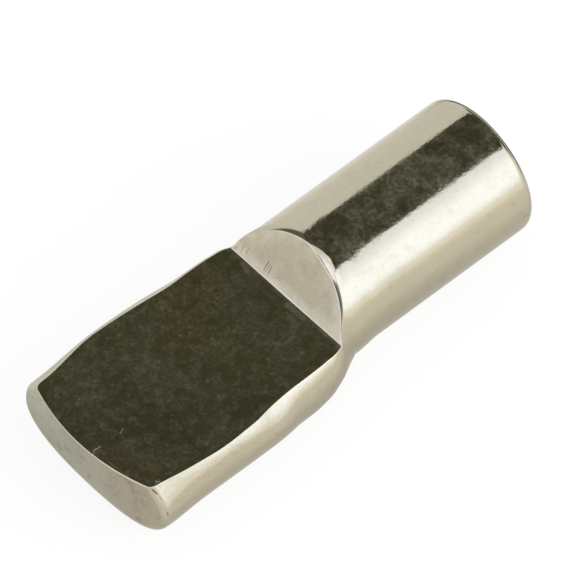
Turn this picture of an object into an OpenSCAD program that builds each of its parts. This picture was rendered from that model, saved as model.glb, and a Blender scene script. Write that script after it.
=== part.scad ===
// Shelf support pin of the spoon pattern, made in one piece from a cut length of round steel
// wire: the round shank plugs into a hole drilled in the cabinet's side, and the pressed
// paddle stands out of it and carries the shelf on its flat.
// All sizes are in millimetres. The origin lies on the shank's axis, in the face of the
// cabinet's side. +X runs along the shank into the hole, +Z points up out of the flat.

/* [Shank] */
// Diameter of the shank
shank_d = 5; // [4.6:0.1:5.6]
// Length of the shank inside the hole
shank_len = 7.6; // [6:0.2:12]
// Radius of the rounded edge round the shank's free end
shank_edge_r = 0.35; // [0.1:0.05:0.8]

/* [Flat and shoulder] */
// Height of the flat above the shank's axis
flat_rise = 0.4; // [0.1:0.05:0.8]
// Distance from the cabinet's side to the foot of the shoulder, where the flat begins
shoulder_at = 0.9; // [0.5:0.1:1.5]
// Angle by which the face of the shoulder leans back from upright
shoulder_lean = 24; // [5:1:35]
// Distance of the flat's edge inside the flank, beside the shoulder
shoulder_inset = 0.45; // [0.3:0.05:0.7]
// Distance of the flat's edge inside the flank, at the tip
tip_inset = 0.8; // [0.6:0.05:1]
// How much nearer to the flank the flat's edge swells in the middle
flat_swell = 0.3; // [0:0.05:0.4]
// Distance from the cabinet's side to the flat's widest place
swell_at = 6; // [5:0.1:6.5]
// Reach of the swell, to either side of the widest place
swell_reach = 4.1; // [2:0.1:4.5]

/* [Paddle] */
// Distance from the cabinet's side to the tip of the paddle
paddle_len = 9.5; // [8:0.1:13]
// Width across the flanks beside the shoulder
paddle_w = 6.65; // [6.3:0.05:7.8]
// Width across the flanks at the tip
paddle_tip_w = 6.8; // [6.3:0.05:7.8]
// Length of the neck, in which the flanks swell from the shank to their full width
neck_len = 2.8; // [2:0.1:4]
// Depth of the flanks' widest line below the shank's axis
belly_drop = 0.6; // [0.4:0.05:0.9]
// How far the underside of the paddle is pressed out below the underside of the shank
under_drop = 0.05; // [0.03:0.01:0.15]
// How much of the underside's round is pressed flat by the anvil
under_bite = 0.04; // [0.01:0.01:0.06]

/* [Tip] */
// Radius of the flat's edge at the tip, seen from above
tip_r = 7; // [5:0.5:15]
// How far the end face slants back from the flat down to the underside
tip_slant = 0.25; // [0:0.05:0.4]
// Radius of the upright corners between the end face and the flanks
tip_corner_r = 0.2; // [0.05:0.05:0.5]
// Radius of the round between the end face and the underside
tip_under_r = 0.9; // [0.4:0.1:1.3]

/* [Hidden] */
$fn = 96;
nickel = "#b9b5a3";
shank_r = shank_d / 2;
paddle_depth = flat_rise + shank_r + under_drop;

// The flanks leave the shank at the cabinet's side, where they already have this share of
// their full width, and swell along a quarter of an ellipse
neck_start = 2 * sqrt(pow(shank_r, 2) - pow(belly_drop, 2)) / paddle_w;
wire_swell = under_drop / 2;

// The swollen blank is a skin over rings, one ring for each distance u from the cabinet's
// side. Above and below the flanks' widest line a ring is half an ellipse. The first ring
// is smaller than the shank, and lies inside it.
ring_points = 64;
neck_rings = 12;
body_rings = 15;
tip_rings = 8;
cap_shares = [0.75, 0.5, 0.25];
first_u = -0.15 * neck_len;
round_u = paddle_len - tip_under_r;

// From this share of the paddle's length on, the rings bow out with the tip
bow_share = 0.62;
bow_fade = 1.5;

function share(t) = min(max(t, 0), 1);
function blend(a, b, t) = a + (b - a) * t;
function ease(t) = t * t * (3 - 2 * t);

// What a rounding of radius r takes off a ring, close to the tip
function tip_loss(u, r) = r - sqrt(pow(r, 2) - pow(max(u - paddle_len + r, 0), 2));

// Share of the way from the shoulder to the tip
function way(u) = share((u - shoulder_at) / (paddle_len - shoulder_at));

// Half-width across the flanks: along the paddle, and with the neck and corners as well
function full_half(u) = blend(paddle_w, paddle_tip_w, way(u)) / 2;
function neck_share(u) =
    sqrt(1 - (1 - pow(neck_start, 2)) * pow(max(1 - u / neck_len, 0), 2));
function flank_half(u) = full_half(u) * neck_share(u) - tip_loss(u, tip_corner_r);

// Distance of the flat's edge inside the flank
function swell(u) = flat_swell * (1 + cos(180 * share(abs(u - swell_at) / swell_reach))) / 2;
function flat_inset(u) = blend(shoulder_inset, tip_inset, way(u)) - swell(u);

// Height of a ring's top above the widest line, so that its upper half runs through the
// edge of the flat
function ring_rise(u) =
    let (edge_share = 1 - flat_inset(u) / full_half(u))
    (flat_rise + belly_drop) / sqrt(1 - pow(edge_share, 2));

// Depth of a ring's lowest point below the widest line
function ring_depth(u) =
    (shank_r + under_drop + under_bite - belly_drop) * neck_share(u)
        - tip_loss(u, tip_under_r);

// Place along the paddle: towards the tip the rings bow out with the flat's round edge,
// while the underside keeps the straight end of the cut wire
function ring_x(u, y, z) =
    let (
        bow = ease(share((u / paddle_len - bow_share) / (1 - bow_share))),
        down = share((flat_rise - z) / paddle_depth)
    )
    bow * (pow(y, 2) / (2 * tip_r) * pow(1 - down, bow_fade) + tip_slant * down) - u;

// One ring. A size below 1 draws it in towards its middle, to close the end face
function ring(u, size = 1) = [
    for (i = [0:ring_points - 1])
        let (
            a = 360 * i / ring_points,
            reach = sin(a) > 0 ? ring_rise(u) : ring_depth(u),
            y = size * flank_half(u) * cos(a),
            z = size * reach * sin(a) - belly_drop
        )
        [ring_x(u, y, z), y, z]
];

// Solid skin over rings of equally many points, closed by a flat polygon at either end
module skin(rings) {
    n = len(rings[0]);
    last = len(rings) - 1;
    points = [for (r = rings) for (p = r) p];
    sides = [
        for (i = [0:last - 1])
            for (j = [0:n - 1])
                let (
                    a = i * n + j,
                    b = i * n + (j + 1) % n
                )
                for (facet = [[a, b, a + n], [b, b + n, a + n]]) facet
    ];
    first_cap = [for (j = [n - 1:-1:0]) j];
    last_cap = [for (j = [0:n - 1]) last * n + j];
    polyhedron(points, concat([first_cap, last_cap], sides));
}

// The wire, from its rounded free end to where it is lost in the blank. It is a true round
// as far as the cabinet's side, and then swells a little towards the press's bite
module shank() {
    rotate([0, 90, 0])
        rotate_extrude() {
            polygon([[0, -neck_len], [shank_r + wire_swell, -neck_len], [shank_r, 0], [0, 0]]);
            square([shank_r, shank_len - shank_edge_r]);
            square([shank_r - shank_edge_r, shank_len]);
            translate([shank_r - shank_edge_r, shank_len - shank_edge_r])
                circle(shank_edge_r);
        }
}

// The swollen end of the wire, before the press has made the flat
module blank() {
    neck_us = [for (i = [0:neck_rings - 1]) blend(first_u, neck_len, i / neck_rings)];
    body_us = [for (i = [0:body_rings - 1]) blend(neck_len, round_u, i / body_rings)];
    tip_us = [for (i = [0:tip_rings]) round_u + tip_under_r * sin(90 * i / tip_rings)];
    side_rings = [for (u = concat(neck_us, body_us, tip_us)) ring(u)];
    cap_rings = [for (size = cap_shares) ring(paddle_len, size)];
    skin(concat(side_rings, cap_rings));
}

// What the press clears away: all that lies above the flat and in front of the shoulder,
// and the lowest of the swollen underside, which the anvil leaves flat
module press() {
    top = 2 * shank_d;
    front = 2 * paddle_len;
    translate([-shoulder_at, paddle_w, flat_rise])
        rotate([90, 0, 0])
            linear_extrude(2 * paddle_w) {
                polygon([[0, 0], [top * tan(shoulder_lean), top], [-front, top], [-front, 0]]);
                translate([-front, -top - paddle_depth])
                    square([front, top]);
            }
}

module shelf_pin() {
    color(nickel)
        difference() {
            union() {
                shank();
                blank();
            }
            press();
        }
}

shelf_pin();
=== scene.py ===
from math import cos, pi, radians, sin, sqrt, tan
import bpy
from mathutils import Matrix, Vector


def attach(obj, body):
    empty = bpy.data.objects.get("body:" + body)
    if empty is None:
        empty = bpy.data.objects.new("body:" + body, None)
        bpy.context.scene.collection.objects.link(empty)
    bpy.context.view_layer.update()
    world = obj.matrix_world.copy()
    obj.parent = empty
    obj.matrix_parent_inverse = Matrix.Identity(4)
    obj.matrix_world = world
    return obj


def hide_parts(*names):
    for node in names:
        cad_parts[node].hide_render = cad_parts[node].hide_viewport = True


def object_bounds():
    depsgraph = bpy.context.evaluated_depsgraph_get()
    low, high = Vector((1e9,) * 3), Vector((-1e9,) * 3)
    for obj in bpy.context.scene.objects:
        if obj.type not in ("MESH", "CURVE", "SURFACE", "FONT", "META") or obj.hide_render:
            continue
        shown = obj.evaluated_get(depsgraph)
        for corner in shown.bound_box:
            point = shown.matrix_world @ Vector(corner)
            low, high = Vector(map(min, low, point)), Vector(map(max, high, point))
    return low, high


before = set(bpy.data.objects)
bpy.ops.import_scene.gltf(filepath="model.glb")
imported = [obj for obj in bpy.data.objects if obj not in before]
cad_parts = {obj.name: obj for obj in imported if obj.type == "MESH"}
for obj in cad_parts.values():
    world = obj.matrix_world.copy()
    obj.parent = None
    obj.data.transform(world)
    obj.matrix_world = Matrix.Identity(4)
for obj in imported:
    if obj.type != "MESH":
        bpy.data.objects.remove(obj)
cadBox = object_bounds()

from types import SimpleNamespace

import bpy
import numpy as np
from mathutils import Matrix, Vector

mm = 0.001
boxLow, boxHigh = ([side / mm for side in corner] for corner in cadBox)


# Shader maths: a wrapped socket, so that 1 - mask adds its own Math node

class Value:
    def __init__(self, graph, socket):
        self.graph = graph
        self.socket = socket

    def maths(self, operation, first, second):
        return self.graph.add("ShaderNodeMath", {"operation": operation}, {0: first, 1: second})

    def __add__(self, other):
        return self.maths("ADD", self, other)

    def __radd__(self, other):
        return self.maths("ADD", other, self)

    def __sub__(self, other):
        return self.maths("SUBTRACT", self, other)

    def __rsub__(self, other):
        return self.maths("SUBTRACT", other, self)

    def __mul__(self, other):
        return self.maths("MULTIPLY", self, other)

    def __rmul__(self, other):
        return self.maths("MULTIPLY", other, self)


class Graph:
    def __init__(self, owner):
        owner.use_nodes = True
        self.tree = owner.node_tree
        self.tree.nodes.clear()

    # any node: its type, its settings, then the values or links of its sockets
    def add(self, kind, settings=None, sockets=None, out=0):
        node = self.tree.nodes.new(kind)
        for name, setting in (settings or {}).items():
            setattr(node, name, setting)
        for name, source in (sockets or {}).items():
            if isinstance(source, Value):
                self.tree.links.new(source.socket, node.inputs[name])
            else:
                node.inputs[name].default_value = source
        return Value(self, node.outputs[out]) if node.outputs else node

    def ray(self, kind):
        return Value(self, self.add("ShaderNodeLightPath").socket.node.outputs[kind])

    def vector(self, operation, sockets):
        # a length or a product comes out of the second socket, as a number
        isNumber = operation in ("DISTANCE", "DOT_PRODUCT", "LENGTH")
        return self.add("ShaderNodeVectorMath", {"operation": operation}, sockets, int(isNumber))

    # 0 below low, 1 above high, and smooth between
    def step(self, source, low, high):
        return self.add(
            "ShaderNodeMapRange",
            {"interpolation_type": "SMOOTHSTEP"},
            {"Value": source, "From Min": low, "From Max": high},
        )

    # rising over the first stretch, and falling over the second
    def band(self, source, rise, fall):
        return self.step(source, *rise) * (1 - self.step(source, *fall))

    def mixColour(self, share, first, second):
        return self.add(
            "ShaderNodeMix", {"data_type": "RGBA"}, {0: share, 6: first, 7: second}, out=2
        )

    # a noise, or the patches where it rises from the first of two levels to the second
    def noise(self, place, scale, detail, rough, seed, levels=None):
        noise = self.add(
            "ShaderNodeTexNoise",
            {"noise_dimensions": "4D"},
            {"Vector": place, "W": seed, "Scale": scale, "Detail": detail, "Roughness": rough},
        )
        return self.step(noise, *levels) if levels else noise


# The pin's skin, of rings round it. A ring's place u is measured from the cabinet's side
# towards the tip, in millimetres, and the pin's right and left are those seen from the tip.

pin = {
    "shankR": boxHigh[2],
    "shankLen": boxHigh[0],
    "shankEdge": 0.35,
    "flatRise": 0.4,
    "shoulderAt": 0.866,
    "shoulderSkew": 0.018,
    "shoulderLean": 24,
    "shoulderInset": 0.45,
    "tipInset": 0.8,
    "flatSwell": 0.3,
    "swellAt": 6.0,
    "swellReach": 4.1,
    "paddleLen": -boxLow[0] - 0.0008,       # the tip stays just inside the solid's box
    "paddleHalf": 3.325,
    "tipHalf": 3.399,
    "neckLen": 2.8,
    "bellyDrop": 0.6,
    "underside": -boxLow[2],
    "underBite": 0.04,
    "tipR": 7.5,
    "tipSlant": 0.25,
    "tipSkew": -0.03,
    "tipCornerR": 0.2,
    "tipUnderR": 0.9,
    "bowShare": 0.62,           # how far along the paddle its rings begin to bow
    "flatEdge": 0.07,           # how far the rounding of the flat's long edges reaches
    "tipEdge": 0.05,
    "underEdge": 0.02,
    "lip": 0.05,
    "chordFillet": 0.06,
    "neckFillet": 0.12,
    "neckFilletGrows": (0, 0.3),
    "blankFrom": -0.2,          # where the swollen blank and the press cut begin
    "cutFrom": -0.3,
    "rimWornFrom": -0.8,
    "rimWornTo": 0.9,
    "sinks": (-2.2, -0.6),      # where the rings' middle sinks from the axis to the belly
    "straightens": 0.7,         # over this way past the shoulder the flanks become straight
    "leastLean": 1.15,          # least slope of the flanks beside the flat, in mean slopes
    "flatRay": 0.02,            # a ray from the middle that rises less than this meets no cut
    # how finely the skin is divided: points round a ring, closer beside the flat's edges
    "ringPoints": 360,
    "crowd": 7.0,
    "crowdWidth": 0.035,
    "crowdGrows": (-0.835, -0.035),
    "topCrowd": 0.35,
    # the places worked out down a flank, and on past its top for the cut to take away
    "underSteps": 160,
    "stripSteps": 240,
    "beyondSteps": 80,
    "beyond": 2,
    # the gaps between rings, the number of rings down each rounding, and the end faces'
    # rings as shares of the last full one
    "shankGap": 0.3,
    "nearGap": 0.05,
    "nearFrom": -0.45,
    "shoulderGap": 0.0145,
    "shoulderFrom": -0.1,
    "shoulderTo": 1.2,
    "paddleGap": 0.085,
    "underGap": 0.02,
    "edgeGap": 0.005,
    "shankEdgeRings": 10,
    "tipUnderRings": 30,
    "tipEdgeRings": 8,
    "endCap": (0.02, 0.3, 0.55, 0.8, 0.92),
    "tipCap": (0.985, 0.96, 0.92, 0.85, 0.75, 0.6, 0.45, 0.3, 0.15, 0.02),
    # what the press left uneven, along the pin: how far out the edge of the flat, the widest
    # place and the neck lie on either side, the depth and squareness of the flanks' widest
    # place, and the slope from upright, in degrees, of their strip beside the flat
    "rightEdge": [
        (0.3, 0.0), (0.85, 0.07), (1.5, 0.0), (2.2, -0.06), (3.4, -0.105), (4.1, -0.09),
        (4.7, -0.035), (5.2, -0.03), (6.0, 0.0), (7.2, 0.025), (8.2, 0.075), (9.5, 0.06),
    ],
    "rightWidest": [
        (0.0, -0.02), (0.5, -0.08), (1.0, -0.05), (2.0, -0.12), (3.0, -0.13), (3.5, -0.05),
        (4.0, 0.0), (5.0, 0.02), (6.0, 0.0), (8.4, -0.08), (9.5, -0.08),
    ],
    "rightNeck": [(-1.0, 0.0), (-0.4, 0.06), (0.0, 0.08), (0.3, 0.04), (0.8, 0.0)],
    "leftEdge": [
        (0.3, 0.0), (1.0, 0.11), (1.6, 0.08), (2.6, 0.005), (3.3, -0.045), (4.6, -0.045),
        (5.6, -0.02), (6.7, 0.045), (8.0, 0.06), (8.6, 0.06), (9.5, 0.1),
    ],
    "leftWidest": [
        (0.0, 0.0), (0.8, 0.1), (1.4, 0.05), (2.0, -0.05), (2.9, -0.06), (3.5, 0.0),
        (5.0, 0.03), (7.2, -0.01), (9.5, 0.0),
    ],
    "leftNeck": [(-0.1, 0.0), (0.3, 0.04), (0.7, 0.14), (1.0, 0.14), (1.4, 0.08)],
    "belly": [
        (0.9, 0.6), (1.6, 0.76), (2.7, 0.8), (3.5, 0.68), (4.3, 0.6), (6.0, 0.6), (7.4, 0.66),
        (8.7, 0.76), (9.5, 0.78),
    ],
    "squareness": [(6.0, 2.06), (7.4, 2.12), (8.7, 2.3), (9.5, 2.45)],
    "rightLean": [(5.2, 38), (6.7, 36), (9.5, 35)],
    "leftLean": [(2.5, 40), (4.0, 50), (6.5, 50), (8.0, 46), (9.5, 42)],
    # the shoulder's worn rim, by degrees round from the right: how deep and how wide it is
    "wornDeep": [
        (5, 0.0), (15, 0.03), (40, 0.06), (56, 0.08), (66, 0.12), (74, 0.1), (90, 0.01),
        (105, 0.06), (125, 0.09), (143, 0.12), (158, 0.04), (170, 0.0),
    ],
    "wornWide": [
        (5, 0.04), (15, 0.06), (40, 0.07), (52, 0.08), (60, 0.15), (69, 0.27), (78, 0.2),
        (90, 0.05), (105, 0.2), (125, 0.2), (165, 0.1),
    ],
    "wornSteepness": 1.5,
}

slope = tan(radians(pin["shoulderLean"]))       # of the leaning face, back from upright
neckStart = sqrt(pin["shankR"] ** 2 - pin["bellyDrop"] ** 2) / pin["paddleHalf"]


def along(u, start, end):
    # 0 before a stretch, 1 past it, and even between
    return np.clip((u - start) / (end - start), 0.0, 1.0)


def blend(a, b, t):
    return a + (b - a) * t


def ease(t):
    return t * t * (3 - 2 * t)


def softMin(a, b, reach):
    overlap = np.maximum(reach - np.abs(a - b), 0) / reach
    return np.minimum(a, b) - overlap ** 2 * reach / 4


def softMax(a, b, reach):
    return -softMin(-a, -b, reach)


def roundOff(past, r):
    # what a rounding of radius r takes away, this far into it
    past = min(max(past, 0.0), r)
    return r - sqrt(r * r - past * past)


def tipLoss(u, r):
    # the same for a rounding that ends at the tip
    return roundOff(u - pin["paddleLen"] + r, r)


def betweenEnds(u, beside, atTip):
    # a measure of the paddle that changes evenly from the shoulder to the tip
    return blend(pin[beside], pin[atTip], along(u, pin["shoulderAt"], pin["paddleLen"]))


def fullHalf(u):
    return betweenEnds(u, "paddleHalf", "tipHalf")


def neckShare(u):
    return sqrt(1 - (1 - neckStart ** 2) * max(1 - u / pin["neckLen"], 0) ** 2)


def bulge(u, at, reach):
    # 1 in the middle of a smooth bump, and 0 at its ends
    return (1 + np.cos(pi * along(abs(u - at), 0, reach))) / 2


def edgeHalf(u):
    # from the middle to the flat's edge
    swell = pin["flatSwell"] * bulge(u, pin["swellAt"], pin["swellReach"])
    return (fullHalf(u) - betweenEnds(u, "shoulderInset", "tipInset") + swell) * neckShare(u)


def wireRadius(u):
    return pin["shankR"] - roundOff(-u - pin["shankLen"] + pin["shankEdge"], pin["shankEdge"])


def ringX(u, y, z):
    bow = ease(along(u, pin["bowShare"] * pin["paddleLen"], pin["paddleLen"]))
    down = along(z, pin["flatRise"], -pin["underside"])
    bowed = (y ** 2 / (2 * pin["tipR"]) + pin["tipSkew"] * y) * (1 - down)
    return bow * (bowed + pin["tipSlant"] * down) - u


def edgeAngle(u):
    # where the edge of the flat, or of the leaning face, lies round a ring
    leaning = pin["flatRise"] + (pin["shoulderAt"] - u) / slope
    z = float(softMax(pin["flatRise"], leaning, pin["chordFillet"])) - tipLoss(u, pin["tipEdge"])
    z = min(z, pin["shankR"])
    y = edgeHalf(u) if u > pin["shoulderAt"] else sqrt(pin["shankR"] ** 2 - z ** 2)
    return np.arctan2(z + pin["bellyDrop"], y)


def ringAngles(u):
    # the points of a ring, closer together beside the flat's two edges
    steps = 4 * pin["ringPoints"]
    angles = (np.arange(steps + 1) / steps - 0.25) * 2 * pi
    middle = (angles[1:] + angles[:-1]) / 2
    crowd = pin["crowd"] * along(u, *pin["crowdGrows"])
    edge = edgeAngle(u)
    density = 1 + pin["topCrowd"] * (np.sin(middle) > 0)
    for place in (edge, pi - edge):
        density = density + crowd * np.exp(-(((middle - place) / pin["crowdWidth"]) ** 2))
    reached = np.concatenate([[0], np.cumsum(density)])
    points = pin["ringPoints"]
    return np.interp(np.arange(points) / points, reached / reached[-1], angles)


def through(u, points):
    # a smooth line through the points, level beyond them
    at, value = zip(*points)
    slopes = np.gradient(value, at)
    slopes[0] = slopes[-1] = 0
    i = int(np.clip(np.searchsorted(at, u) - 1, 0, len(at) - 2))
    gap = at[i + 1] - at[i]
    t = along(u, at[i], at[i + 1])
    turn = (1 - t) * slopes[i] - t * slopes[i + 1]
    return blend(value[i], value[i + 1], ease(t)) + gap * t * (1 - t) * turn


def flankRadii(u, lift, side):
    # one side of the blank, straight beside the flat and rounding more and more below
    corner = tipLoss(u, pin["tipCornerR"])
    widest = fullHalf(u) * neckShare(u) - corner + through(u, pin[side + "Widest"])
    edge = edgeHalf(u) - corner + through(u, pin[side + "Edge"])
    belly = through(u, pin["belly"])
    rise = pin["flatRise"] + belly
    depth = (pin["underside"] + pin["underBite"] - pin["bellyDrop"]) * neckShare(u)
    depth -= tipLoss(u, pin["tipUnderR"]) + belly - pin["bellyDrop"]
    under = np.linspace(pi / 2, 0, pin["underSteps"])
    power = 2 / through(u, pin["squareness"])
    middle = np.arctan((widest - edge) / rise)
    lean = max(radians(through(u, pin[side + "Lean"])), pin["leastLean"] * middle)
    strip = np.linspace(0, 1, pin["stripSteps"])
    slopes = lean * (1 - strip ** (middle / (lean - middle)))
    outwards, down = np.cumsum(np.sin(slopes)), np.cumsum(np.cos(slopes))
    outwards *= (widest - edge) / outwards[-1]
    down *= rise / down[-1]
    beyond = np.linspace(0, pin["beyond"], pin["beyondSteps"])
    y = [widest * np.cos(under) ** power, (edge + outwards)[-2::-1], edge - beyond * sin(lean)]
    z = [-depth * np.sin(under) ** power, (rise - down)[-2::-1], rise + beyond * cos(lean)]
    y, z = np.concatenate(y), np.concatenate(z) + pin["bellyDrop"] - belly
    straight = np.interp(lift, np.arctan2(z, y), np.hypot(y, z))
    # in the neck it rounds inwards above the flat
    top = rise / sqrt(1 - (edge / widest) ** 2)
    reach = np.where(lift > 0, top, depth)
    rounded = 1 / np.hypot(np.cos(lift) / widest, np.sin(lift) / reach)
    start = pin["shoulderAt"]
    return blend(rounded, straight, ease(along(u, start, start + pin["straightens"])))


def rimWear(u, radii, rise, across, middleZ, around):
    # how much the worn rim of the shoulder has lost
    over = middleZ + radii * rise - pin["flatRise"]
    past = pin["shoulderAt"] - u + pin["shoulderSkew"] * radii * across - over * slope
    deep, wide = (np.interp(around, *zip(*pin[name])) for name in ("wornDeep", "wornWide"))
    return deep * (1 - along(past, 0, wide)) ** pin["wornSteepness"]


def pressed(u, radii, rise, across, middleZ):
    # the wire run into the blank, and the anvil's flat along its underside
    lift = np.arctan2(rise, np.abs(across))
    right, left = flankRadii(u, lift, "right"), flankRadii(u, lift, "left")
    blank = np.where(across < 0, right, left)
    if u < pin["neckLen"]:
        fillet = pin["neckFillet"] * along(u, *pin["neckFilletGrows"])
        blank = softMax(radii, blank, max(fillet, 1e-6))     # never a reach of 0
    anvil = (pin["underside"] + middleZ) / np.maximum(-rise, pin["flatRay"])
    return np.where(rise < -pin["flatRay"], softMin(blank, anvil, pin["underEdge"]), blank)


def cutAway(u, radii, rise, across, middleZ):
    # the flat, and the leaning face, which stands a little askew
    level = pin["flatRise"] - tipLoss(u, pin["tipEdge"])
    flat = (level - middleZ) / np.maximum(rise, pin["flatRay"])
    climb = np.maximum(rise - pin["shoulderSkew"] * across / slope, pin["flatRay"])
    leaning = (pin["flatRise"] + (pin["shoulderAt"] - u) / slope - middleZ) / climb
    cut = softMax(flat, leaning, pin["chordFillet"])
    edge = pin["flatEdge"] if u > pin["shoulderAt"] else pin["lip"]
    return np.where(rise > pin["flatRay"], softMin(radii, cut, edge), radii)


def ringRadii(u, angles, middleZ):
    rise, across = np.sin(angles), np.cos(angles)
    radii = -middleZ * rise + np.sqrt(wireRadius(u) ** 2 - (middleZ * across) ** 2)
    # degrees round the wire, from 0 at its right side over 90 at the top
    around = np.degrees(np.arctan2(middleZ + radii * rise, -radii * across))
    swell = [through(u, pin[side + "Neck"]) for side in ("right", "left")]
    radii += np.where(around < 90, *swell) * across ** 2
    if pin["rimWornFrom"] < u < pin["rimWornTo"]:
        radii -= rimWear(u, radii, rise, across, middleZ, around)
    if u > pin["blankFrom"]:
        radii = pressed(u, radii, rise, across, middleZ)
    if u > pin["cutFrom"]:
        radii = cutAway(u, radii, rise, across, middleZ)
    return radii


def intoRounding(start, r, steps):
    # places closer and closer together, down a rounding of radius r
    return [start + r * sin(pi / 2 * i / steps) for i in range(steps + 1)]


def ringPlaces():
    tip, end = pin["paddleLen"], pin["shankLen"] - pin["shankEdge"]
    under, edge = tip - pin["tipUnderR"], tip - pin["tipEdge"]
    places = intoRounding(under, pin["tipUnderR"], pin["tipUnderRings"])
    places = [u for u in places if u < edge - pin["edgeGap"]]
    places += intoRounding(edge, pin["tipEdge"], pin["tipEdgeRings"])
    places += [-u for u in intoRounding(end, pin["shankEdge"], pin["shankEdgeRings"])[1:]]
    places += list(np.arange(-end, pin["nearFrom"] - pin["nearGap"], pin["shankGap"]))
    places += list(np.arange(pin["nearFrom"], pin["shoulderFrom"], pin["nearGap"]))
    places += list(np.arange(pin["shoulderFrom"], pin["shoulderTo"], pin["shoulderGap"]))
    places += list(np.arange(pin["shoulderTo"], under - pin["underGap"], pin["paddleGap"]))
    return sorted(places)


def makePin():
    rings = []
    for u in ringPlaces():
        angles = ringAngles(u)
        middleZ = -pin["bellyDrop"] * ease(along(u, *pin["sinks"]))
        radii = ringRadii(u, angles, middleZ)
        y, z = radii * np.cos(angles), middleZ + radii * np.sin(angles)
        rings.append(np.stack([ringX(u, y, z), y, z], axis=1))
    # the end faces, as rings drawn in to their middle
    endCap = [rings[0] * [1, size, size] for size in pin["endCap"]]
    tipCap = []
    for size in pin["tipCap"]:
        y = rings[-1][:, 1] * size
        z = (rings[-1][:, 2] + pin["bellyDrop"]) * size - pin["bellyDrop"]
        tipCap.append(np.stack([ringX(pin["paddleLen"], y, z), y, z], axis=1))
    rings = endCap + rings + tipCap
    count = pin["ringPoints"]
    faces = []
    for i in range(len(rings) - 1):
        for j in range(count):
            k = (j + 1) % count
            faces.append((i * count + j, (i + 1) * count + j, (i + 1) * count + k, i * count + k))
    last = (len(rings) - 1) * count
    faces.append(tuple(range(count)))
    faces.append(tuple(range(last + count - 1, last - 1, -1)))
    mesh = bpy.data.meshes.new("shelfPinSkin")
    mesh.from_pydata((np.concatenate(rings) * mm).tolist(), [], faces)
    mesh.shade_smooth()
    piece = bpy.data.objects.new("shelfPinSkin", mesh)
    bpy.context.scene.collection.objects.link(piece)
    print("pin skin:", len(rings), "rings,", len(mesh.polygons), "faces")
    return piece


# Nickel plate over pressed steel

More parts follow.
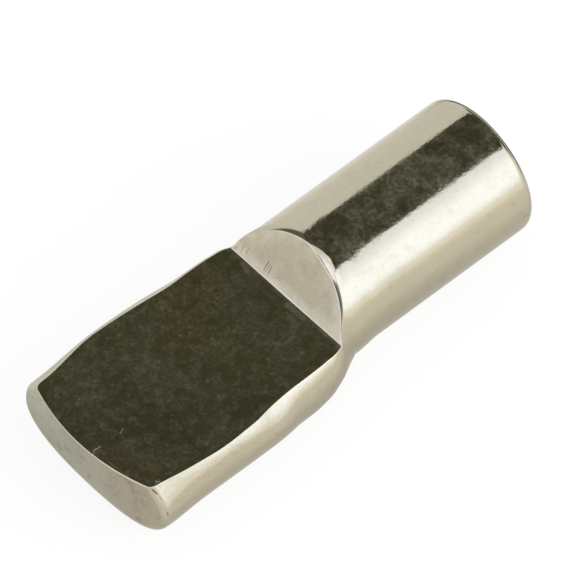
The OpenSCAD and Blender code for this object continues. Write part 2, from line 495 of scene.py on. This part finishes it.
plate = {
    "colour": (0.515, 0.479, 0.361, 1),
    "cooler": (0.505, 0.475, 0.365, 1),         # in clouds
    "veil": (0.475, 0.467, 0.325, 1),           # where there is haze
    "stain": (0.30, 0.26, 0.18, 1),
    # dark scuffs, and the painted shade in the crease
    "grimeAndShade": (0.074, 0.065, 0.037, 1),
    "scratchGlint": (0.86, 0.83, 0.74, 1),              # in scratches, painted bright as glints
    "paler": (0.655, 0.615, 0.515, 1),          # on the leaning face, and in the painted highlight along the rim
    "tarnish": (0.585, 0.488, 0.353, 1),
    "nearFlat": (0.49, 0.455, 0.33, 1),         # the flat towards the tip's right corner
    "farFlat": (0.545, 0.518, 0.372, 1),        # and towards the left of the shoulder
    "farDirection": (0.65, 0.76),
    "farWaves": 0.6,
    "farLevels": (-5.3, -4.0),
    "tarnishLevels": (0.6, 0.5),
    "veiled": 4,                # how much more the veil shows than its haze
    "roughness": 0.08,
    # noises, by scale, detail, roughness and seed, and those that show in patches also by
    # the two levels between which they rise from 0 to 1
    "peel": (2.2, 3.0, 0.55, 1.0),
    "grain": (7.0, 3.0, 0.6, 2.0),
    "streaks": (1.5, 3.0, 0.6, 6.0),
    "streakSpread": (1.0, 9.0, 0.8),            # they run up the leaning face
    "pores": (8.0, 1.5, 0.5, 5.0, (0.34, 0.72)),
    "clouds": (0.85, 2.5, 0.55, 3.0, (0.4, 0.62)),
    "mottle": (2.7, 2.0, 0.55, 13.0, (0.4, 0.66)),
    "specks": (6.0, 0.0, 0.5, 21.0, (0.74, 0.8)),
    "stains": (2.6, 4.0, 0.65, 7.0, (0.53, 0.75)),
    "dots": (8.5, 2.0, 0.5, 8.0, (0.64, 0.76)),
    # where parts of the pin begin and end: along x, in height over the flat, and in
    # distance from the leaning face
    "shankBand": (-0.35, 0.05),
    "flatBand": (-0.95, -0.85),
    "tipBand": (-9.3, -8.6),
    "underFlat": (-0.07, -0.03),
    "overFlat": (0.02, 0.05),
    "topBand": (-0.1, -0.04),
    "faceBand": (0.028, 0.045),
    "faceFoot": (0.0, 0.04),
    "shankTop": (0.02, 0.06),
    "footHaze": ((-0.24, -0.02), (0.0, 0.01)),
    # how much each of these takes off the metallic look
    "haze": {
        "mottle": 0.06, "mottleOnShank": 0.045, "clouds": 0.035, "cloudsOnShank": 0.07,
        "least": 0.3, "pores": 0.62, "finePores": 0.01, "smudges": 0.13, "specks": 0.05,
        "face": 0.03, "foot": 0.025, "footMottle": 0.05, "scratches": 0.15, "crease": 0.4,
    },
    # how much each adds to the roughness, and how far it stands out
    "rough": {"pores": 0.05, "clouds": 0.03, "marks": 0.2, "face": 0.25},
    "relief": {"peel": 0.5, "grain": 0.35, "pores": -0.12, "scuffs": -1.5, "face": 0.8},
    "reliefDepth": 0.01,
    "reliefShare": 0.6,
    # how far each stains the plate, on the flanks or all over, and how much more at the tip
    "stained": {
        "stains": (0.26, 0.6), "dots": (0.26, 0.35), "pores": (0.1, 0.16),
        "peel": (0.0, 0.3), "grain": (0.14, 0.22),
    },
    "stainPeel": (0.4, 0.62),
    "stainPeelMean": 0.4,
    "stainGrain": (0.42, 0.62),
    "stainGrainMean": 0.5,
    "lipStain": 0.3,
    "lipReach": (0.03, 0.09),
    "lipLeft": (-2.4, 0.5),
    # how much paler each makes the leaning face
    "pale": {
        "all": 0.04, "foot": 0.8, "rim": 0.35, "right": 0.4, "streaks": 0.9, "peel": 1.8,
        "waves": 0.3,
    },
    "paleFoot": (0.25, 0.7),
    "paleRim": (1.9, 2.45),
    "paleRight": (0.9, 2.2),
    # strips of painted shade in the crease, by the degrees round the shank over which each begins
    # and ends, and its width
    "crease": [
        ((3, 14), (50, 64), 0.035),
        ((20, 42), (50, 64), 0.045),
        ((86, 97), (90, 142), 0.2),
    ],
    "creaseEdge": ((0.005, 0.02), (-0.05, 0.02)),
    "creaseLeast": (0.008, 0.02),
    "rimHighlight": ((50, 56), (70, 78), 0.7),        # a painted highlight along the rim, likewise
    "rimHighlightEdge": ((0.0, 0.03), (0.2, 0.3)),
    # marks, each from one place to another, in x, y and z, with its half width and how
    # plainly it shows: scratches painted bright as glints, dark scuffs, hazy smudges beside the
    # shoulder, and tarnish
    "markEdge": (0.4, 1.6),
    "scratches": [
        ((-8.06, -0.37, 0.4), (-8.25, -0.45, 0.4), 0.017, 0.75),
        ((-8.35, -0.38, 0.4), (-8.6, -0.44, 0.4), 0.014, 0.35),
        ((-9.05, -0.42, 0.4), (-9.3, -0.39, 0.4), 0.018, 0.75),
        ((-9.3, -0.39, 0.4), (-9.42, -0.5, 0.4), 0.016, 0.5),
        ((-6.4, 1.24, 0.4), (-5.8, 0.72, 0.4), 0.012, 0.15),
        ((-8.62, -2.56, 0.4), (-8.52, -2.72, 0.4), 0.016, 0.8),
        ((-8.75, -2.66, 0.4), (-8.5, -2.62, 0.4), 0.014, 0.6),
        ((-9.24, -1.02, 0.4), (-9.14, -1.87, 0.4), 0.02, 0.3),
    ],
    "scuffs": [
        ((-0.8, 1.17, 0.6), (-0.63, 1.1, 0.98), 0.026, 0.45),
        ((-0.79, 1.07, 0.61), (-0.64, 1.01, 0.95), 0.014, 0.35),
        ((-0.8, 0.96, 0.59), (-0.66, 0.93, 0.89), 0.024, 0.4),
        ((-0.78, 0.76, 0.62), (-0.74, 0.53, 0.71), 0.016, 0.3),
        ((-0.86, 2.22, 0.5), (-0.75, 2.21, 0.76), 0.022, 0.3),
        ((-0.82, 2.02, 0.59), (-0.7, 1.98, 0.84), 0.022, 0.3),
        ((-0.89, 2.49, 0.46), (-0.82, 2.41, 0.6), 0.026, 0.4),
        ((-8.87, -2.7, 0.31), (-8.8, -2.83, 0.17), 0.03, 0.8),
        ((-8.69, -2.73, 0.38), (-8.58, -2.81, 0.28), 0.012, 0.7),
        ((-8.79, -2.82, 0.22), (-8.74, -3.04, -0.1), 0.02, 0.4),
        ((-8.74, -3.04, -0.1), (-8.73, -3.21, -0.41), 0.016, 0.2),
        ((-8.74, -3.25, -0.5), (-8.74, -3.28, -0.58), 0.035, 0.45),
        ((-9.44, 0.5, -0.26), (-9.43, 0.0, -0.36), 0.06, 0.2),
    ],
    "smudges": [
        ((-1.03, 1.9, 0.4), (-1.12, 1.6, 0.4), 0.09, 0.8),
        ((-1.08, -0.25, 0.4), (-1.02, -1.0, 0.4), 0.08, 0.7),
        ((-1.25, 0.6, 0.4), (-1.2, 0.2, 0.4), 0.06, 0.3),
        ((-1.3, -0.7, 0.4), (-1.45, -1.1, 0.4), 0.12, 0.3),
    ],
    "tarnished": [
        ((-2.7, 2.2, 0.4), (-4.2, 1.2, 0.4), 0.8, 1.0),
        ((-9.1, -1.2, 0.4), (-8.5, -2.2, 0.4), 0.35, 0.9),
        ((-8.2, 2.4, 0.4), (-7.7, 2.7, 0.4), 0.25, 0.8),
    ],
}


def strokes(g, place, marks):
    # up to 1 along the marks, and 0 away from them
    inner, outer = plate["markEdge"]
    total = 0.0
    for start, end, halfWidth, strength in marks:
        run = Vector(end) - Vector(start)
        offset = g.vector("SUBTRACT", {0: place, 1: start})
        reached = g.vector("DOT_PRODUCT", {0: offset, 1: run / run.length_squared})
        reached = g.add("ShaderNodeClamp", None, {"Value": reached})
        nearest = g.vector("SCALE", {0: run, 3: reached})
        gap = g.vector("DISTANCE", {0: offset, 1: nearest})
        stroke = (1 - g.step(gap, halfWidth * inner, halfWidth * outer)) * strength
        total = g.add("ShaderNodeMath", {"operation": "MAXIMUM"}, {0: total, 1: stroke})
    return total


def whereabouts(g, place):
    # measures in millimetres, and masks that are 1 on a part of the pin and 0 off it
    split = g.add("ShaderNodeSeparateXYZ", None, {0: place}).socket.node
    x, y, z = (Value(g, split.outputs[i]) for i in range(3))
    over = z - pin["flatRise"]
    past = x + pin["shoulderAt"] + y * pin["shoulderSkew"] - over * slope
    near, far = plate["faceBand"]
    top = g.step(over, *plate["topBand"])
    level = g.band(over, plate["underFlat"], plate["overFlat"])
    at = SimpleNamespace(x=x, y=y, z=z, over=over, past=past, top=top, level=level)
    at.shank = g.step(x, *plate["shankBand"])
    at.flat = level * (1 - g.step(x, *plate["flatBand"]))
    at.face = (1 - g.step(past * past, near ** 2, far ** 2)) * g.step(over, *plate["faceFoot"])
    at.flank = (1 - at.shank) * (1 - at.flat)
    at.tip = (1 - g.step(x, *plate["tipBand"])) * (1 - top)
    at.angle = g.add("ShaderNodeMath", {"operation": "ARCTAN2"}, {0: z, 1: 0 - y}) * (180 / pi)
    return at


def textures(g, place):
    names = ("peel", "grain", "pores", "clouds", "mottle", "specks", "stains", "dots")
    seen = SimpleNamespace(**{name: g.noise(place, *plate[name]) for name in names})
    spread = g.vector("MULTIPLY", {0: place, 1: plate["streakSpread"]})
    seen.streaks = g.noise(spread, *plate["streaks"])
    seen.light = strokes(g, place, plate["scratches"])
    seen.dark = strokes(g, place, plate["scuffs"])
    seen.smudges = strokes(g, place, plate["smudges"])
    seen.tarnished = strokes(g, place, plate["tarnished"])
    return seen


def plateHaze(g, at, seen):
    # it shows where the metal mirrors something dark, and most beside the shoulder's foot
    much = plate["haze"]
    haze = seen.mottle * (at.shank * much["mottleOnShank"] + much["mottle"])
    haze = haze + seen.clouds * (at.shank * much["cloudsOnShank"] + much["clouds"])
    haze = haze * (seen.pores * much["pores"] + much["least"]) + seen.pores * much["finePores"]
    haze = haze + seen.smudges * at.flat * much["smudges"] + seen.specks * much["specks"]
    foot = g.band(at.past, *plate["footHaze"]) * at.level
    return haze + at.face * much["face"] + foot * (seen.mottle * much["footMottle"] + much["foot"])


def plateRoughness(at, seen):
    much = plate["rough"]
    rough = seen.pores * much["pores"] + seen.clouds * much["clouds"]
    rough = rough + (seen.light + seen.dark) * much["marks"]
    return rough + at.face * seen.streaks * much["face"] + plate["roughness"]


def plateRelief(g, at, seen):
    much = plate["relief"]
    height = seen.peel * much["peel"] + seen.grain * much["grain"] + seen.pores * much["pores"]
    height = height + seen.dark * much["scuffs"] + at.face * seen.streaks * much["face"]
    return g.add(
        "ShaderNodeBump",
        None,
        {
            "Strength": plate["reliefShare"],
            "Distance": plate["reliefDepth"] * mm,
            "Height": height,
        },
    )


def plateStains(g, at, seen):
    # most at the tip, whose edge with the flat has gone brown, more so to the left
    much = plate["stained"]
    peel = g.step(seen.peel, *plate["stainPeel"]) - plate["stainPeelMean"]
    grain = g.step(seen.grain, *plate["stainGrain"]) - plate["stainGrainMean"]
    offFace = 1 - at.face
    spoilt = 0.0
    for kind, where, name in (
        (seen.stains, 1.0, "stains"),
        (seen.dots * offFace, 1.0, "dots"),
        (seen.pores * seen.mottle, at.flank, "pores"),
        (grain, at.flank * offFace, "grain"),
        (peel, 0.0, "peel"),
    ):
        share, more = much[name]
        spoilt = kind * (at.tip * more + where * share) + spoilt
    inside = at.x + pin["paddleLen"] - at.y * at.y * (0.5 / pin["tipR"]) - at.y * pin["tipSkew"]
    lip = at.top * (1 - g.step(inside, *plate["lipReach"])) * g.step(at.y, *plate["lipLeft"])
    return spoilt + lip * (plate["lipStain"] - spoilt)


def creaseShade(g, at):
    # painted shade in the crease between the leaning face and the shank
    width = 0.0
    for rise, fall, wide in plate["crease"]:
        width = g.band(at.angle, rise, fall) * wide + width
    foot, edge = plate["creaseEdge"]
    grimeAndShade = g.step(at.past, *foot) * (1 - g.step(at.past - width, *edge))
    return grimeAndShade * g.step(width, *plate["creaseLeast"]) * g.step(at.over, *plate["shankTop"])


def paintedRimHighlight(g, at):
    # a painted highlight along the shoulder's rim
    rise, fall, much = plate["rimHighlight"]
    rimHighlight = g.band(at.angle, rise, fall) * g.band(at.past, *plate["rimHighlightEdge"])
    return rimHighlight * g.step(at.over, *plate["shankTop"]) * much


def paleFace(g, at, seen):
    # the leaning face is paler beside the flat, along its rim and towards the right
    much = plate["pale"]
    upFace = at.over * (1 / cos(radians(pin["shoulderLean"]))) + seen.streaks * much["waves"]
    outward = g.add("ShaderNodeMath", {"operation": "SQRT"}, {0: at.y * at.y + at.z * at.z})
    paler = (1 - g.step(upFace, *plate["paleFoot"])) * much["foot"] + much["all"]
    paler = paler + g.step(outward, *plate["paleRim"]) * much["rim"]
    paler = paler + g.step(0 - at.y, *plate["paleRight"]) * much["right"]
    paler = paler + (seen.streaks - 0.5) * much["streaks"] + (seen.peel - 0.5) * much["peel"]
    return g.add("ShaderNodeClamp", None, {"Value": paler}) * at.face


def plateColour(g, at, seen, haze, crease):
    across, up = plate["farDirection"]
    far = at.x * across + at.y * up + (seen.clouds - 0.5) * plate["farWaves"]
    flat = g.mixColour(g.step(far, *plate["farLevels"]), plate["nearFlat"], plate["farFlat"])
    least, more = plate["tarnishLevels"]
    flat = g.mixColour(seen.tarnished * (seen.mottle * more + least), flat, plate["tarnish"])
    colour = g.mixColour(seen.clouds, plate["colour"], plate["cooler"])
    colour = g.mixColour(at.flat, colour, flat)
    for amount, tint in (
        (haze * plate["veiled"], "veil"),
        (plateStains(g, at, seen), "stain"),
        (paleFace(g, at, seen), "paler"),
        (seen.dark, "grimeAndShade"),
        # the scratches, painted bright as glints
        (seen.light, "scratchGlint"),
        # a painted highlight along the rim
        (paintedRimHighlight(g, at), "paler"),
        # painted shade in the crease
        (crease, "grimeAndShade"),
    ):
        colour = g.mixColour(amount, colour, plate[tint])
    return colour


def nickelPlate():
    material = bpy.data.materials.new("nickelPlate")
    g = Graph(material)
    place = g.vector("SCALE", {0: g.add("ShaderNodeTexCoord", out=3), 3: 1 / mm})
    at = whereabouts(g, place)
    seen = textures(g, place)
    haze = plateHaze(g, at, seen)
    crease = creaseShade(g, at)
    much = plate["haze"]
    # the crease's painted shade also dulls the metal there
    metal = (1 - haze - seen.light * much["scratches"]) * (1 - crease * much["crease"])
    surface = g.add(
        "ShaderNodeBsdfPrincipled",
        None,
        {
            "Base Color": plateColour(g, at, seen, haze, crease),
            "Metallic": metal,
            "Roughness": plateRoughness(at, seen),
            "Normal": plateRelief(g, at, seen),
        },
    )
    g.add("ShaderNodeOutputMaterial", None, {"Surface": surface})
    return material


skin = makePin()
skin.data.materials.append(nickelPlate())
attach(skin, "root")
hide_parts("shelf_pin")
print("nickel plate made")

# Floor and light. Azimuths turn from +X towards +Y.

room = {
    "floorZ": boxLow[2] - 0.005,
    "floorHalf": 500,
    "floorColour": (0.8, 0.8, 0.8, 1),
    "whiteShare": 0.84,
    "whiteStrength": 1.05,
    "mirrored": (1.01, 0.967, 0.93, 1),     # the floor's tint in the metal
    "nearLevel": 0.62,          # what mirror rays see of the floor close to the pin, a painted shadow
    "nearMiddle": -1.0,
    "nearStretch": 3.0,
    "nearReach": (2, 8.5),
    "greenShadeAt": (-9.7, 3.4),      # a painted greenish shade on it beyond the tip's left corner
    "greenShadeReach": (1.0, 3.4),
    "greenShadeColour": (0.84, 0.855, 0.805, 1),
    "shadeAt": (-5.0, 5.2),     # a duller one along the left flank
    "shadeReach": (1.5, 5.5),
    "shadeColour": (0.76, 0.77, 0.75, 1),
    "dimAt": (24.0, 7.0),       # and a dim painted one beyond the shank's end
    "dimReach": (9.2, 14.8),
    "dimColour": (0.16, 0.15, 0.12, 1),
    "frontAzimuth": -65,
    "frontLift": 0.42,          # and how much more towards the window, a painted pool of light
    "frontReach": (3, 60),
    # round patches of the sky: the dark of the room high beyond the shank, its wall below
    # that, the window on the right and where it dims towards the dark, the glow round the
    # window, and more light from beyond the tip
    "dark": {"azimuth": 19, "elevation": 59.4, "reach": 34.5, "edge": 1.5},
    "darkColour": (0.064, 0.062, 0.0388, 1),
    "wall": {"azimuth": 14, "elevation": 12, "reach": 30, "edge": 6},
    "wallColour": (0.15, 0.143, 0.12, 1),
    "window": {"azimuth": -64, "elevation": 38, "reach": 33, "edge": 9},
    "windowColour": (1.97, 2.07, 2.5, 1),
    "dusk": {"azimuth": 19, "elevation": 59.4, "reach": 48, "edge": 14},
    "duskColour": (1.45, 1.52, 1.8, 1),
    "glow": {"azimuth": -64, "elevation": 38, "reach": 52, "edge": 24},
    "glowColour": (1.3, 1.3, 1.3, 1),
    "fill": {"azimuth": 168, "elevation": 30, "reach": 30, "edge": 10},
    "fillColour": (1.44, 1.44, 1.76, 1),
    "white": (1, 1, 1, 1),
    "daylight": (0.75, 0.75, 0.75, 1),
    "lampAzimuth": -62,
    "lampElevation": 35,
    "lampDistance": 160,
    "lampSize": 130,
    "lampLevel": 2.6,
}


def direction(azimuth, elevation):
    a, e = radians(azimuth), radians(elevation)
    return Vector((cos(a) * cos(e), sin(a) * cos(e), sin(e)))


def floorPaper():
    # plain paper to the camera, and in the metal a glowing floor with a painted shadow and duller
    # painted patches round the pin, and a painted pool of light towards the window
    material = bpy.data.materials.new("floorPaper")
    g = Graph(material)
    place = g.vector("SCALE", {0: g.add("ShaderNodeTexCoord", out=3), 3: 1 / mm})
    offset = g.vector("SUBTRACT", {0: place, 1: (room["nearMiddle"], 0, 0)})
    footprint = g.vector("MULTIPLY", {0: offset, 1: (1 / room["nearStretch"], 1, 0)})
    apart = g.vector("LENGTH", {0: footprint})
    towards = g.vector("DOT_PRODUCT", {0: place, 1: direction(room["frontAzimuth"], 0)})
    # mirror rays see a painted shadow near the pin and a painted pool of light towards the window
    level = g.step(apart, *room["nearReach"]) * (1 - room["nearLevel"]) + room["nearLevel"]
    level = level + g.step(towards, *room["frontReach"]) * room["frontLift"]
    isGlossy = g.ray("Is Glossy Ray")
    level = isGlossy * level + (1 - isGlossy) * room["whiteStrength"]
    tint = g.mixColour(isGlossy, room["white"], room["mirrored"])
    # painted patches of shade on the floor, seen only by mirror rays
    for name in ("shade", "greenShade", "dim"):
        gap = g.vector("DISTANCE", {0: place, 1: (*room[name + "At"], room["floorZ"])})
        spot = (1 - g.step(gap, *room[name + "Reach"])) * isGlossy
        tint = g.mixColour(spot, tint, room[name + "Colour"])
    tint = g.vector("SCALE", {0: tint, 3: level})
    white = g.add("ShaderNodeEmission", None, {"Color": tint, "Strength": 1.0})
    paper = g.add("ShaderNodeBsdfDiffuse", None, {"Color": room["floorColour"]})
    seen = g.ray("Is Camera Ray") + g.ray("Is Transmission Ray")
    shown = seen * room["whiteShare"] + isGlossy
    surface = g.add("ShaderNodeMixShader", None, {0: shown, 1: paper, 2: white})
    g.add("ShaderNodeOutputMaterial", None, {"Surface": surface})
    return material


def makeFloor():
    half, z = room["floorHalf"] * mm, room["floorZ"] * mm
    mesh = bpy.data.meshes.new("floor")
    corners = [(-half, -half, z), (half, -half, z), (half, half, z), (-half, half, z)]
    mesh.from_pydata(corners, [], [(0, 1, 2, 3)])
    mesh.materials.append(floorPaper())
    floor = bpy.data.objects.new("floor", mesh)
    bpy.context.scene.collection.objects.link(floor)


def patch(g, towards, spot):
    # 1 inside a round patch of the sky, and 0 outside
    middle = direction(spot["azimuth"], spot["elevation"])
    facing = g.vector("DOT_PRODUCT", {0: towards, 1: middle})
    low = cos(radians(spot["reach"] + spot["edge"]))
    high = cos(radians(spot["reach"] - spot["edge"]))
    return g.step(facing, low, high)


def makeWorld():
    world = bpy.data.worlds.new("studio")
    bpy.context.scene.world = world
    g = Graph(world)
    isGlossy = g.ray("Is Glossy Ray")
    towards = g.add("ShaderNodeTexCoord")
    # the window is dimmer where it nears the dark of the room
    dusk = patch(g, towards, room["dusk"])
    window = g.mixColour(dusk, room["windowColour"], room["duskColour"])
    colour = room["white"]
    for name, shown in (
        ("glow", room["glowColour"]),
        ("window", window),
        ("fill", room["fillColour"]),
        ("wall", room["wallColour"]),
        ("dark", room["darkColour"]),
    ):
        colour = g.mixColour(patch(g, towards, room[name]), colour, shown)
    colour = g.mixColour(isGlossy, room["white"], colour)
    seen = g.ray("Is Camera Ray") + isGlossy + g.ray("Is Transmission Ray")
    colour = g.mixColour(seen, room["daylight"], colour)
    background = g.add("ShaderNodeBackground", None, {"Color": colour, "Strength": 1.0})
    g.add("ShaderNodeOutputWorld", None, {"Surface": background})


def aimed(eye, target, roll=0.0):
    turn = (Vector(target) - Vector(eye)).to_track_quat("-Z", "Y").to_matrix().to_4x4()
    return Matrix.Translation(eye) @ turn @ Matrix.Rotation(roll, 4, "Z")


def makeLamp():
    # it lights the floor, where the window that the metal mirrors is part of the sky
    light = bpy.data.lights.new("lamp", "AREA")
    light.size = room["lampSize"] * mm
    light.energy = room["lampLevel"] * pi * light.size ** 2
    lamp = bpy.data.objects.new("lamp", light)
    bpy.context.scene.collection.objects.link(lamp)
    eye = direction(room["lampAzimuth"], room["lampElevation"]) * room["lampDistance"] * mm
    lamp.matrix_world = aimed(eye, (0, 0, 0))
    lamp.visible_glossy = False


makeFloor()
makeWorld()
makeLamp()
print("floor, world and lamp made")

# Camera, by its place round the point that it looks at. Its azimuth turns from -Y
# towards +X.

view = {
    "azimuth": -40.810,
    "elevation": 54.682,
    "roll": -0.804,
    "target": (-0.419, 0.4385, 0.01),
    "distance": 305.2,
    "lens": 598.6,
    "sensor": 36,
    "clip": (10, 5000),
}


def makeCamera():
    camera = bpy.data.cameras.new("camera")
    camera.lens = view["lens"]
    camera.sensor_width = view["sensor"]
    camera.clip_start, camera.clip_end = (reach * mm for reach in view["clip"])
    piece = bpy.data.objects.new("camera", camera)
    bpy.context.scene.collection.objects.link(piece)
    back = direction(view["azimuth"] - 90, view["elevation"])
    target = Vector(view["target"]) * mm
    piece.matrix_world = aimed(target + back * view["distance"] * mm, target, radians(view["roll"]))
    bpy.context.scene.camera = piece


makeCamera()
bpy.context.scene.view_settings.view_transform = "Standard"
